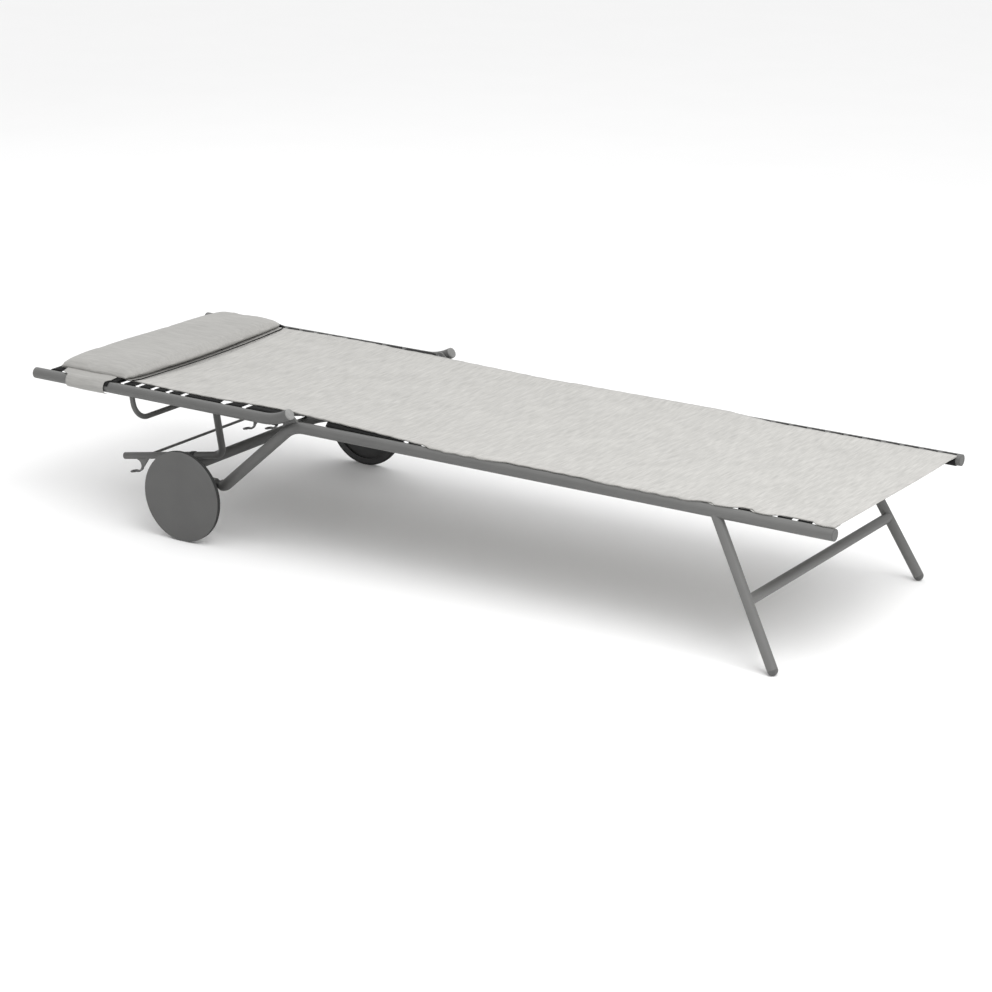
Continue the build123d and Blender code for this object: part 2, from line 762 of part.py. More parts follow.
def prop_pads():
    """Rubber sleeves on the bars where they rest on the rear cross tube."""
    with BuildPart() as pads:
        for _, side in SIDES:
            x, z = prop_point(PAD_S - PAD_HALF, 0)
            far_x, far_z = prop_point(PAD_S + PAD_HALF, 0)
            along = Vector(far_x - x, 0, far_z - z)
            with BuildSketch(Plane(origin=(x, side * PROP_Y, z), z_dir=along)):
                Circle(PAD_R)
                Circle(PROP_R, mode=Mode.SUBTRACT)
            extrude(amount=2 * PAD_HALF)
    save(pads, "prop_pads")


def bar_caps():
    with BuildPart() as caps:
        for _, side in SIDES:
            x, z = prop_point(PROP_BAR, 0)
            far_x, far_z = prop_point(PROP_BAR + BAR_PLUG_T, 0)
            along = Vector(far_x - x, 0, far_z - z)
            with BuildSketch(Plane(origin=(x, side * PROP_Y, z), z_dir=along)):
                Circle(PROP_R)
            extrude(amount=BAR_PLUG_T)
    save(caps, "bar_caps")


# ---- sling: a simple closed solid for each body ---------------------------------
def seat_sling():
    start, end = SEAT_SLING_X
    with BuildPart() as sling:
        with BuildSketch(Plane.XY.offset(SEAT_SLING_Z - SLING_T / 2)):
            with Locations(((start + end) / 2, 0)):
                Rectangle(end - start, 2 * SEAT_SLING_HALF)
        extrude(amount=SLING_T)
    save(sling, "seat_sling")


def back_sling():
    start, end = BACK_SLING_X
    with BuildPart() as sling:
        with BuildSketch(Plane.XY.offset(BACK_SLING_Z - SLING_T / 2)):
            with Locations(((start + end) / 2, 0)):
                Rectangle(end - start, 2 * BACK_SLING_HALF)
        extrude(amount=SLING_T)
    save(sling, "back_sling")


TAB_END_DEG = -70.0
TAB_FACETS = 4
NOTCH_RISE = 5.0
NOTCH_GAP = 1.5
LEG_NOTCH_SHIFT = 5.0


def rail_side_points(side, rail_y, rail_z, radius, top_deg):
    """Corner points of a faceted wrap down the inner side of a rail."""
    step = radians(TAB_END_DEG - top_deg) / TAB_FACETS
    reach = radius / cos(step / 2)
    points = []
    for index in range(TAB_FACETS + 1):
        angle = radians(top_deg) + index * step
        y = side * (rail_y - reach * cos(angle))
        points.append((y, rail_z + reach * sin(angle)))
    return points


def tab_spans(first, count, wide):
    """X range of every tab in a row: the regular ones and the wide ones."""
    centres = [first + index * TAB_PITCH for index in range(count)]
    return [(x - TAB_W / 2, x + TAB_W / 2) for x in centres] + wide


def tab_row(label, side, rail, tab, spans, notches):
    """Webbing tabs from the sling hem to the inner side of a rail, one solid each.

    rail is the rail's Y and Z, tab is where the tab starts and its height.
    Each notch is the X position and half width of a tube that joins the rail from below.
    """
    rail_y, rail_z = rail
    reach, tab_z = tab
    near = TUBE_R + TAB_GAP
    far = near + TAB_T
    high = tab_z + TAB_T / 2
    low = tab_z - TAB_T / 2
    near_top = degrees(asin((high - rail_z) / near))
    far_top = degrees(asin((low - rail_z) / far))
    profile = [(side * reach, high)]
    profile += rail_side_points(side, rail_y, rail_z, near, near_top)
    profile += reversed(rail_side_points(side, rail_y, rail_z, far, far_top))
    profile += [(side * reach, low)]
    with BuildPart() as tabs:
        for start, end in spans:
            with BuildSketch(Plane.YZ.offset(start)):
                with BuildLine():
                    Polyline(*profile, close=True)
                make_face()
            extrude(amount=end - start)
        for notch_x, half_width in notches:
            with BuildSketch(Plane.XY.offset(rail_z + NOTCH_RISE)):
                with Locations((notch_x, side * rail_y)):
                    Rectangle(2 * (half_width + NOTCH_GAP), 4 * TUBE_R)
            extrude(amount=-3 * TUBE_R, mode=Mode.SUBTRACT)
    save(tabs, label)


def tabs(name, side):
    tab_row(
        f"seat_tabs_{name}",
        side,
        (RAIL_Y, RAIL_Z),
        (SEAT_TAB_REACH, SEAT_TAB_Z),
        tab_spans(SEAT_TAB_FIRST, SEAT_TAB_COUNT, SEAT_WIDE_TABS),
        [(LEG_TOP_X + LEG_NOTCH_SHIFT, LEG_R + LEG_NOTCH_SHIFT)],
    )
    tab_row(
        f"back_tabs_{name}",
        side,
        (BACK_Y, BACK_Z),
        (BACK_TAB_REACH, BACK_TAB_Z),
        tab_spans(BACK_TAB_FIRST, BACK_TAB_COUNT, BACK_WIDE_TABS),
        [(BOW_TOP_X + BOW_R / 2, BOW_R * 1.5), (PIVOT_X, PIVOT_TUBE_R)],
    )


# ---- head pillow --------------------------------------------------------------------
def head_pillow():
    start, end = PILLOW_X
    low, high = PILLOW_Z
    with BuildPart() as pillow:
        with BuildSketch(Plane.XY.offset(low)):
            with Locations(((start + end) / 2, 0)):
                RectangleRounded(end - start, 2 * PILLOW_HALF, 16)
        extrude(amount=high - low)
        fillet(pillow.faces().sort_by(Axis.Z)[-1].edges(), 15)
    save(pillow, "head_pillow")


FLAP_TOP_DEG = 115.0
FLAP_BOTTOM_DEG = -80.0


def pillow_flap(name, side):
    """Fabric flap of the pillow that wraps over the outside of the backrest rail."""
    start, end = FLAP_X
    centre = (side * BACK_Y, BACK_Z)
    inner = TUBE_R + FLAP_GAP
    start_deg = 180 - FLAP_TOP_DEG if side < 0 else FLAP_BOTTOM_DEG
    with BuildPart() as flap:
        with BuildSketch(Plane.YZ.offset(start)):
            with BuildLine():
                low = CenterArc(centre, inner, start_deg, FLAP_TOP_DEG - FLAP_BOTTOM_DEG)
                high = CenterArc(
                    centre, inner + FLAP_T, start_deg, FLAP_TOP_DEG - FLAP_BOTTOM_DEG
                )
                Line(low @ 0, high @ 0)
                Line(low @ 1, high @ 1)
            make_face()
        extrude(amount=end - start)
    save(flap, f"pillow_flap_{name}")


for side_name, side_sign in SIDES:
    side_rail(side_name, side_sign)
    rail_plug(side_name, side_sign)
    front_leg(side_name, side_sign)
    foot_cap(side_name, side_sign)
    spigot(side_name, side_sign)
    wheel_bracket(side_name, side_sign)
    axle(side_name, side_sign)
    wheel(side_name, side_sign)
    hinge_lug(side_name, side_sign)
    hinge_bolt(side_name, side_sign)
    backrest_rail(side_name, side_sign)
    hinge_bush(side_name, side_sign)
    backrest_plugs(side_name, side_sign)
    prop_arm(side_name, side_sign)
    catch_hooks(side_name, side_sign)
    tabs(side_name, side_sign)
    pillow_flap(side_name, side_sign)

leg_cross_bar()
rear_frame()
spigot_screws()
axle_clips()
hinge_washers()
backrest_bow()
pivot_tube()
pivot_collars()
prop_rod()
prop_pads()
bar_caps()
seat_sling()
back_sling()
head_pillow()
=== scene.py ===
"""Looks for the reclining sun lounger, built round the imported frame."""

import json
import math

import bpy
from mathutils import Matrix, Vector, noise


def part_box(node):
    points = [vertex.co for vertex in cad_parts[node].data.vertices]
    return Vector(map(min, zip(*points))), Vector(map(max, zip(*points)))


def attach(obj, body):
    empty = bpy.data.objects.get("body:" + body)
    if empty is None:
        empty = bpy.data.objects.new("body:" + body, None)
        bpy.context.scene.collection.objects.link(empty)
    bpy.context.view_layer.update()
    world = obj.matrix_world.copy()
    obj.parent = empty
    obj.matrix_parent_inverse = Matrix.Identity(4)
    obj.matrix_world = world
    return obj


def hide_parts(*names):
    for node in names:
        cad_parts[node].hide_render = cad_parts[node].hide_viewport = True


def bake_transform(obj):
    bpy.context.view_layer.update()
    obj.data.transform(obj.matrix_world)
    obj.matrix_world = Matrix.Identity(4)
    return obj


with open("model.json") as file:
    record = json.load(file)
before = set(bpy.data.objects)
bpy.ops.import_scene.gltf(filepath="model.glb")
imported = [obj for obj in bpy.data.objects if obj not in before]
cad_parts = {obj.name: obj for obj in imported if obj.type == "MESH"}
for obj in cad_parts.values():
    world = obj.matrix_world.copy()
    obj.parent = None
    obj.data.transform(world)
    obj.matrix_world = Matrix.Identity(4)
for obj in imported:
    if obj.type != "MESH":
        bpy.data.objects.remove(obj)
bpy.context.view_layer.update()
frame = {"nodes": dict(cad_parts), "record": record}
SIDES = (("right", -1), ("left", 1))

# ---- sizes in metres, in the row frame ------------------------------------
rail_low, rail_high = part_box("rail_plug_left")
SEAT_RAIL_Y = (rail_low.y + rail_high.y) / 2
SEAT_RAIL_Z = (rail_low.z + rail_high.z) / 2
RAIL_R = (rail_high.z - rail_low.z) / 2
head_low, head_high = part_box("head_plug_left")
BACK_RAIL_Y = (head_low.y + head_high.y) / 2
BACK_RAIL_Z = (head_low.z + head_high.z) / 2

seat_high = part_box("seat_sling")[1]
back_low, back_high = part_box("back_sling")
SEAT_Z = seat_high.z
BACK_Z = back_high.z
SLING_HEAD_X = back_low.x
SLING_FOOT_X = seat_high.x
SLING_HALF = seat_high.y
SLING_THICK = 0.0012
HEM_W = 0.026
HEM_THICK = 0.0010
HEM_UNDER = SLING_THICK + 0.0006
# section of the folded layer under a hem: how far in from the edge, and how far below its own top
HEM_SECTION = ((0.0, 0.0), (0.0004, HEM_THICK), (HEM_W - 0.002, HEM_THICK), (HEM_W, 0.0))
# how much lower the sheet hangs along its middle, and how much more where it crosses the hinges
SAG = 0.004
HINGE_DIP = 0.004
# X, half width and height of the sling's hem: high between the backrest rails, low on the seat rails
HEM_LINE = (
    (SLING_HEAD_X, 0.2755, BACK_Z - 0.0003),
    (-0.700, 0.2790, BACK_Z - 0.0003),
    (-0.620, 0.2850, BACK_Z - 0.0003),
    (-0.480, 0.2845, BACK_Z),
    (-0.400, 0.2755, BACK_Z),
    (-0.330, 0.2740, BACK_Z + 0.0005),
    (-0.240, 0.2745, BACK_Z - 0.0025),
    (-0.120, 0.2775, BACK_Z - 0.0062),
    (-0.005, 0.2820, BACK_Z - 0.0105),
    (0.085, 0.2895, SEAT_Z + 0.0001),
    (SLING_FOOT_X, 0.2895, SEAT_Z + 0.0001),
)
# the hem line is averaged over this far on both sides, so it has no corners
HEM_EASE = 0.03
# from here to the foot the hem lies on the round top of the rail, and rolls over it this far at most
ON_RAIL_X = 0.04
ROLL_OVER = 0.009
# stretches where the hem stands further out (+) or in (-): X from, X to, length of the ease, how far
BOTH_HEMS = ((0.075, 0.225, 0.025, 0.0050),)
RIGHT_HEM = (
    (0.475, 0.735, 0.025, 0.0040),
    (0.702, 0.731, 0.006, -0.0080),
    (0.788, 0.817, 0.006, -0.0120),
    (0.874, 0.948, 0.006, -0.0105),
)
# the left hem is drawn in between these places and stays so to the foot
LEFT_DRAW_X = (0.42, 0.60)
LEFT_DRAW = 0.0245
# the stitched groove along the hems
STITCH_W = 0.0016
STITCH_DEPTH = 0.0006
STITCH_SPREAD = 0.0012
FOOT_HEM_W = 0.0216

STRAP_PITCH = 0.04305
STRAP_W = 0.030
STRAP_T = 0.0014
SEAT_STRAP_X = 0.0275
BACK_STRAP_X = -0.94475

PILLOW_HEAD_X = -0.957
PILLOW_FRONT_X = -0.7195
PILLOW_END_Y = 0.292
PILLOW_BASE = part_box("head_pillow")[0].z
PILLOW_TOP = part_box("head_pillow")[1].z
# radius of the black trim along the pillow's front seam; the trim also paints the shadow line under the
# pillow's front
SHADOW_PIPING_R = 0.0013
BAND_THICK = 0.0012


# ---- materials --------------------------------------------------------------
def new_material(name, colour, roughness, metallic=0.0):
    """A plain material, with its node tree and its shader."""
    material = bpy.data.materials.new(name)
    material.use_nodes = True
    shader = material.node_tree.nodes["Principled BSDF"]
    shader.inputs["Base Color"].default_value = (*colour, 1)
    shader.inputs["Roughness"].default_value = roughness
    shader.inputs["Metallic"].default_value = metallic
    return material, material.node_tree, shader


def add(tree, kind, **settings):
    """A new shader node with some of its settings."""
    node = tree.nodes.new(kind)
    for key, value in settings.items():
        setattr(node, key, value)
    return node


def scaled_coords(tree, scale, output="Object"):
    coords = add(tree, "ShaderNodeTexCoord")
    mapping = add(tree, "ShaderNodeMapping")
    mapping.inputs["Scale"].default_value = scale
    tree.links.new(coords.outputs[output], mapping.inputs["Vector"])
    return mapping.outputs["Vector"]


def noise_value(tree, vector, scale, detail=3.0, roughness=0.55):
    texture = add(tree, "ShaderNodeTexNoise")
    texture.inputs["Scale"].default_value = scale
    texture.inputs["Detail"].default_value = detail
    texture.inputs["Roughness"].default_value = roughness
    tree.links.new(vector, texture.inputs["Vector"])
    return texture.outputs["Fac"]


def remap(tree, value, low, high, to_low, to_high):
    node = add(tree, "ShaderNodeMapRange")
    for key, number in (
        ("From Min", low),
        ("From Max", high),
        ("To Min", to_low),
        ("To Max", to_high),
    ):
        node.inputs[key].default_value = number
    tree.links.new(value, node.inputs["Value"])
    return node.outputs["Result"]


def math_node(tree, operation, first, second):
    """One operation on two values, each a number or another node's output."""
    node = add(tree, "ShaderNodeMath", operation=operation)
    for socket, value in zip(node.inputs, (first, second)):
        if isinstance(value, (int, float)):
            socket.default_value = value
        else:
            tree.links.new(value, socket)
    return node.outputs[0]


# sockets of the mix node when it mixes colours
MIX_FACTOR, MIX_FIRST, MIX_SECOND = 0, 6, 7
MIX_RESULT = 2


def mix_colour(tree, factor, first, second):
    """first where factor is 0, second where it is 1. Each is a colour or another node's output."""
    node = add(tree, "ShaderNodeMix", data_type="RGBA")
    tree.links.new(factor, node.inputs[MIX_FACTOR])
    for number, value in ((MIX_FIRST, first), (MIX_SECOND, second)):
        if isinstance(value, tuple):
            node.inputs[number].default_value = (*value, 1)
        else:
            tree.links.new(value, node.inputs[number])
    return node.outputs[MIX_RESULT]


def from_noise(tree, value, to_low, to_high):
    """Spreads a noise, which lies mostly between 0.3 and 0.7, over a new range."""
    return remap(tree, value, 0.3, 0.7, to_low, to_high)


def bump(tree, shader, height, strength, distance):
    node = add(tree, "ShaderNodeBump")
    node.inputs["Strength"].default_value = strength
    node.inputs["Distance"].default_value = distance
    tree.links.new(height, node.inputs["Height"])
    tree.links.new(node.outputs["Normal"], shader.inputs["Normal"])


def scaled(colour, factor):
    """The colour made lighter or darker."""
    return tuple(min(1.0, c * factor) for c in colour)


def cloudy_tone(tree, cloud, colour, dark, light):
    """The colour in soft darker and lighter patches; dark and light are factors."""
    return mix_colour(tree, from_noise(tree, cloud, 0, 1), scaled(colour, dark), scaled(colour, light))


def coated_metal(name, colour, roughness, grain=1500.0):
    """Powder coat: faint orange peel, cloudy sheen and slightly rubbed edges."""
    material, tree, shader = new_material(name, colour, roughness)
    place = scaled_coords(tree, (1, 1, 1))
    cloud = noise_value(tree, place, 14, 4)
    fine = noise_value(tree, place, grain, 2)
    tone = cloudy_tone(tree, cloud, colour, 0.9, 1.1)
    edge = add(tree, "ShaderNodeNewGeometry").outputs["Pointiness"]
    worn = remap(tree, edge, 0.53, 0.62, 0.0, 0.35)
    rubbed = mix_colour(tree, worn, tone, scaled(colour, 2.2))
    tree.links.new(rubbed, shader.inputs["Base Color"])
    spread = from_noise(tree, cloud, roughness - 0.06, roughness + 0.08)
    tree.links.new(spread, shader.inputs["Roughness"])
    bump(tree, shader, fine, 0.25, 0.0002)
    return material


def moulded(name, colour, roughness, grain=700.0):
    """Moulded plastic or rubber with a fine spark-eroded grain."""
    material, tree, shader = new_material(name, colour, roughness)
    place = scaled_coords(tree, (1, 1, 1))
    fine = noise_value(tree, place, grain, 3)
    cloud = noise_value(tree, place, 35, 3)
    tone = cloudy_tone(tree, cloud, colour, 0.8, 1.25)
    tree.links.new(tone, shader.inputs["Base Color"])
    spread = from_noise(tree, cloud, roughness - 0.05, roughness + 0.1)
    tree.links.new(spread, shader.inputs["Roughness"])
    bump(tree, shader, fine, 0.35, 0.0002)
    return material


def plated_steel(name, colour, roughness):
    """Zinc plated steel with fine turning marks and dull patches."""
    material, tree, shader = new_material(name, colour, roughness, 1.0)
    place = scaled_coords(tree, (1, 1, 1))
    cloud = noise_value(tree, place, 90, 4)
    marks = noise_value(tree, scaled_coords(tree, (1, 40, 1)), 120, 2)
    tone = cloudy_tone(tree, cloud, colour, 0.75, 1.15)
    tree.links.new(tone, shader.inputs["Base Color"])
    tree.links.new(from_noise(tree, cloud, roughness, roughness + 0.2), shader.inputs["Roughness"])
    bump(tree, shader, marks, 0.2, 0.0001)
    return material


# a band texture of scale 1 draws this many waves to the metre, and each wave is two threads
WAVES_PER_METRE = 3.1831
THREADS_PER_WAVE = 2
# noise steps to the metre along and across a slub
SLUB_ALONG = 24.0
SLUB_ACROSS = 340.0


def thread_bands(tree, vector, direction, per_metre):
    """Parallel threads, per_metre of them to the metre."""
    wave = add(tree, "ShaderNodeTexWave", wave_type="BANDS", bands_direction=direction)
    wave.inputs["Scale"].default_value = per_metre / WAVES_PER_METRE / THREADS_PER_WAVE
    wave.inputs["Distortion"].default_value = 0.0
    tree.links.new(vector, wave.inputs["Vector"])
    return wave.outputs["Fac"]


def slub_noise(tree, output, axis, along, across, detail, roughness):
    """Noise drawn out along one axis."""
    scale = (across, along, across) if axis == "Y" else (along, across, across)
    return noise_value(tree, scaled_coords(tree, scale, output), 1.0, detail, roughness)


def melange(name, colour, output, axis, weave=800.0, contrast=0.25):
    """Woven outdoor mesh: slubs that run along one axis over a fine basket weave."""
    material, tree, shader = new_material(name, colour, 0.85)
    slub = slub_noise(tree, output, axis, SLUB_ALONG, SLUB_ACROSS, 3, 0.6)
    wide = slub_noise(tree, output, axis, 0.8 * SLUB_ALONG, 0.35 * SLUB_ACROSS, 2, 0.5)
    plain = scaled_coords(tree, (1, 1, 1), output)
    cloud = noise_value(tree, plain, 9.0, 3)
    warp = thread_bands(tree, plain, "X", weave)
    weft = thread_bands(tree, plain, "Y", weave)
    basket = math_node(tree, "MULTIPLY", warp, weft)
    streak = math_node(tree, "ADD", from_noise(tree, slub, 0, 0.55), from_noise(tree, wide, 0, 0.3))
    mixed = math_node(tree, "ADD", streak, from_noise(tree, cloud, -0.05, 0.12))
    shaded = math_node(tree, "MULTIPLY", mixed, remap(tree, basket, 0, 0.6, 0.82, 1.05))
    tone = mix_colour(tree, shaded, scaled(colour, 1 - contrast), scaled(colour, 1 + contrast))
    tree.links.new(tone, shader.inputs["Base Color"])
    shader.inputs["Sheen Weight"].default_value = 0.12
    shader.inputs["Sheen Roughness"].default_value = 0.5
    height = math_node(tree, "ADD", basket, math_node(tree, "MULTIPLY", slub, 0.7))
    bump(tree, shader, height, 0.3, 0.0004)
    return material


def webbing(name, colour):
    """Tight ribbed webbing."""
    material, tree, shader = new_material(name, colour, 0.85)
    shader.inputs["Specular IOR Level"].default_value = 0.25
    place = scaled_coords(tree, (1, 1, 1))
    ribs = thread_bands(tree, place, "X", 700.0)
    cloud = noise_value(tree, place, 160, 3)
    tone = cloudy_tone(tree, cloud, colour, 0.6, 1.7)
    tree.links.new(tone, shader.inputs["Base Color"])
    height = math_node(tree, "ADD", ribs, cloud)
    bump(tree, shader, height, 0.4, 0.0003)
    return material


METAL_COLOUR = (0.092, 0.092, 0.0896)
METAL = coated_metal("anthracite_coat", METAL_COLOUR, 0.46)
WHEEL = coated_metal("wheel_coat", (0.090, 0.090, 0.088), 0.55, 900.0)
FABRIC = (0.430, 0.423, 0.405)
SURFACES = {
    "coated_metal": METAL,
    "wheel_finish": WHEEL,
    "wheel_core": moulded("wheel_core_plastic", (0.03, 0.03, 0.03), 0.5),
    "tread": moulded("tread_rubber", (0.018, 0.018, 0.018), 0.7, 400.0),
    "pad_rubber": moulded("pad_rubber", (0.025, 0.025, 0.025), 0.75, 500.0),
    "black_plastic": moulded("black_plastic", (0.035, 0.035, 0.034), 0.45),
    "cap_plastic": moulded("cap_plastic", METAL_COLOUR, 0.5),
    "grey_plastic": moulded("grey_plastic", (0.22, 0.22, 0.215), 0.55),
    "steel": plated_steel("plated_steel", (0.45, 0.45, 0.46), 0.3),
    "sling_fabric": melange("sling_melange", FABRIC, "UV", "Y"),
    # the pillow's fabric is the sling's fabric made darker: painted shade for the weaker light on the
    # pillow
    "pillow_fabric": melange("pillow_melange_painted_shade", scaled(FABRIC, 0.82), "Object", "X", contrast=0.18),
    "webbing": webbing("black_webbing", (0.007, 0.007, 0.007)),
}
SLOT_OF = {row["node"]: row["material_slot"] for row in frame["record"]["subparts"]}
for node_name, node in frame["nodes"].items():
    node.data.materials.clear()
    node.data.materials.append(SURFACES[SLOT_OF[node_name]])


# ---- mesh helpers --------------------------------------------------------------
def shade_smooth(mesh):
    for face in mesh.polygons:
        face.use_smooth = True


def piece(name, points, faces, slot_name):
    """A smooth mesh object with the material and the slot of one surface."""
    mesh = bpy.data.meshes.new(name)
    mesh.from_pydata(points, [], faces)
    mesh.validate()
    mesh.update()
    thing = bpy.data.objects.new(name, mesh)
    bpy.context.scene.collection.objects.link(thing)
    mesh.materials.append(SURFACES[slot_name])
    shade_smooth(mesh)
    return thing


def lay_flat(thing, flat):
    """UVs in metres on the flat cloth, so that the weave keeps its size."""
    uv = thing.data.uv_layers.new(name="cut")
    for loop in thing.data.loops:
        uv.data[loop.index].uv = flat[loop.vertex_index]


def smoothstep(low, high, value):
    """0 below low, 1 above high and an eased rise between them."""
    t = min(1.0, max(0.0, (value - low) / (high - low)))
    return t * t * (3 - 2 * t)


def bell(centre, width, value):
    """1 at the centre, falling to nothing a few widths away."""
    return math.exp(-(((value - centre) / width) ** 2))


def wobble(x, y, seed):
    """Smooth unevenness between about -1 and 1."""
    return noise.noise(Vector((x, y, seed)))


# ---- sling: one sheet from the head end to the foot end ---------------------------
def hem_line(x, column):
    """Half width (column 1) or height (column 2) of the hem at x, eased between the table's rows."""
    total = 0.0
    for shift, weight in ((-HEM_EASE, 0.25), (0.0, 0.5), (HEM_EASE, 0.25)):
        spot = min(SLING_FOOT_X, max(SLING_HEAD_X, x + shift))
        for low, high in zip(HEM_LINE, HEM_LINE[1:]):
            if spot <= high[0]:
                share = (spot - low[0]) / (high[0] - low[0])
                total += weight * (low[column] + (high[column] - low[column]) * share)
                break
    return total


def stretch(x, low, high, ease):
    """1 between low and high along X, 0 outside, eased at both ends."""
    return smoothstep(low - ease, low, x) * (1 - smoothstep(high, high + ease, x))


def hem_reach(x, side):
    """Half width of the hem on one side, where it covers some straps and leaves others bare."""
    reach = hem_line(x, 1)
    for low, high, ease, change in BOTH_HEMS if side > 0 else BOTH_HEMS + RIGHT_HEM:
        reach += change * stretch(x, low, high, ease)
    if side > 0:
        reach -= LEFT_DRAW * smoothstep(*LEFT_DRAW_X, x)
    return reach


def sling_edge(x, side):
    """Half width of the sling at x, with the hem drawn out by the straps."""
    scallop = 0.0010 * math.cos(2 * math.pi * (x - SEAT_STRAP_X) / STRAP_PITCH)
    wander = 0.0015 * wobble(x * 3.1, side * 5.0, 1.7)
    return hem_reach(x, side) + scallop + wander


def sling_height(x, y, side_share):
    """Top of the sling. side_share is 0 on the middle line and 1 at a hem."""
    base = hem_line(x, 2)
    slack = SAG * (1 - side_share**2)
    ends = smoothstep(-0.99, -0.90, x) * (1 - smoothstep(0.93, 1.0, x))
    dip = HINGE_DIP * bell(-0.30, 0.07, x) * (1 - side_share**4)
    fade = 1 - smoothstep(0.93, 1.0, side_share)
    ripple = (0.0012 * wobble(x * 4.0, y * 5.0, 0.3) + 0.0006 * wobble(x * 13.0, y * 9.0, 4.3)) * fade
    over = min(ROLL_OVER, max(0.0, abs(y) - SEAT_RAIL_Y)) if x > ON_RAIL_X else 0.0
    roll = RAIL_R - math.sqrt(RAIL_R**2 - over**2)
    return base - slack * (0.4 + 0.6 * ends) - dip + ripple - roll


def grid_values(low, high, step):
    """Even values from low to high, about a step apart."""
    count = max(2, round((high - low) / step))
    return [low + (high - low) * i / count for i in range(count + 1)]


def make_sling():
    """The sheet with its hems and their stitching, as one grid of faces."""
    stitch = HEM_W / SLING_HALF
    rows = grid_values(0, 1 - stitch, 0.045)[:-1]
    rows += [1 - (HEM_W + STITCH_W) / SLING_HALF, 1 - stitch, 1 - (HEM_W - STITCH_W) / SLING_HALF]
    rows += [1 - 0.7 * HEM_W / SLING_HALF, 1 - 0.35 * HEM_W / SLING_HALF, 1.0]
    across = [-r for r in reversed(rows)] + rows[1:]
    along = [SLING_HEAD_X, SLING_HEAD_X + 0.0015]
    along += grid_values(SLING_HEAD_X + 0.008, SLING_FOOT_X - 0.030, 0.0108)
    along += [SLING_FOOT_X - x for x in (0.0232, FOOT_HEM_W, 0.020, 0.012, 0.005, 0.001, 0.0)]
    points, flat = [], []
    for x in along:
        for share in across:
            side = 1 if share > 0 else -1
            y = share * sling_edge(x, side)
            z = sling_height(x, y, abs(share))
            inset = (1 - abs(share)) * SLING_HALF
            # the hem is folded under, so it stands proud, with a stitched groove along it
            z += 0.0005 * (1 - smoothstep(HEM_W - 0.002, HEM_W + 0.002, inset))
            z -= STITCH_DEPTH * bell(HEM_W, STITCH_SPREAD, inset)
            z -= STITCH_DEPTH * bell(SLING_FOOT_X - FOOT_HEM_W, STITCH_SPREAD, x)
            points.append((x, y, z))
            flat.append((x, share * SLING_HALF))
    width = len(across)
    faces = []
    for i in range(len(along) - 1):
        for j in range(width - 1):
            a = i * width + j
            faces.append((a, a + width, a + width + 1, a + 1))
    sling = piece("sling", points, faces, "sling_fabric")
    lay_flat(sling, flat)
    thick = sling.modifiers.new("cloth", "SOLIDIFY")
    thick.thickness = SLING_THICK + 0.0004
    thick.offset = -1
    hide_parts("seat_sling", "back_sling")
    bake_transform(sling)
    return sling


sling = make_sling()


# ---- hems: a second layer folded under the long edges --------------------------------
def round_edges(thing, width):
    bevel = thing.modifiers.new("edge", "BEVEL")
    bevel.width = width
    bevel.segments = 2
    bevel.limit_method = "ANGLE"


def make_hem(name, side):
    """The folded layer under one long edge, seen from the side as the hem's thickness."""
    along = grid_values(SLING_HEAD_X, SLING_FOOT_X, 0.0125)
    points, faces = [], []
    for x in along:
        edge = sling_edge(x, side)
        top = sling_height(x, side * edge, 1.0) - HEM_UNDER
        for inset, drop in HEM_SECTION:
            z = sling_height(x, side * (edge - inset), 1 - inset / SLING_HALF) - HEM_UNDER
            points.append((x, side * (edge - 0.0006 - inset), (top + z) / 2 - drop))
    ring = len(HEM_SECTION)
    for i in range(len(along) - 1):
        for j in range(ring):
            a, b = ring * i + j, ring * i + (j + 1) % ring
            faces.append((a, b, b + ring, a + ring) if side > 0 else (a, a + ring, b + ring, b))
    last = ring * (len(along) - 1)
    faces += [(3, 2, 1, 0), (last, last + 1, last + 2, last + 3)]
    hem = piece(f"sling_hem_{name}", points, faces, "sling_fabric")
    lay_flat(hem, [(vertex.co.x, vertex.co.y) for vertex in hem.data.vertices])
    round_edges(hem, 0.0006)
    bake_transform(hem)
    return hem


hems = [make_hem(name, side) for name, side in SIDES]


# ---- straps from the hem to the rails ------------------------------------------------
# angle on the rail where a strap ends, and its depth under the hem line
STRAP_END = math.radians(-72)
STRAP_UNDER = SLING_THICK + HEM_THICK + 0.0012
STRAP_ARC_STEPS = 10
# a strap wider than this gets more faces across it
WIDE_STRAP = 0.05


def strap_line(rail_y, rail_z, start_z, hem_y):
    """Middle line of a strap, as distance from the lounger's middle plane and height."""
    radius = RAIL_R + 0.0002 + STRAP_T / 2
    top = math.asin(min(0.97, (start_z - rail_z) / radius))
    meet = (rail_y - radius * math.cos(top), rail_z + radius * math.sin(top))
    leave = min(hem_y, meet[0]) - 0.003
    line = [(leave - 0.016, start_z), (leave, start_z)]
    line.append(((leave + meet[0]) / 2, (start_z + meet[1]) / 2 - 0.0002))
    for i in range(STRAP_ARC_STEPS + 1):
        angle = top + (STRAP_END - top) * i / STRAP_ARC_STEPS
        line.append((rail_y - radius * math.cos(angle), rail_z + radius * math.sin(angle)))
    return line


def line_normals(line):
    """Unit normals at the points of a line in the Y-Z plane."""
    last = len(line) - 1
    normals = []
    for i in range(len(line)):
        a, b = line[max(0, i - 1)], line[min(last, i + 1)]
        run = math.hypot(b[0] - a[0], b[1] - a[1])
        normals.append((-(b[1] - a[1]) / run, (b[0] - a[0]) / run))
    return normals


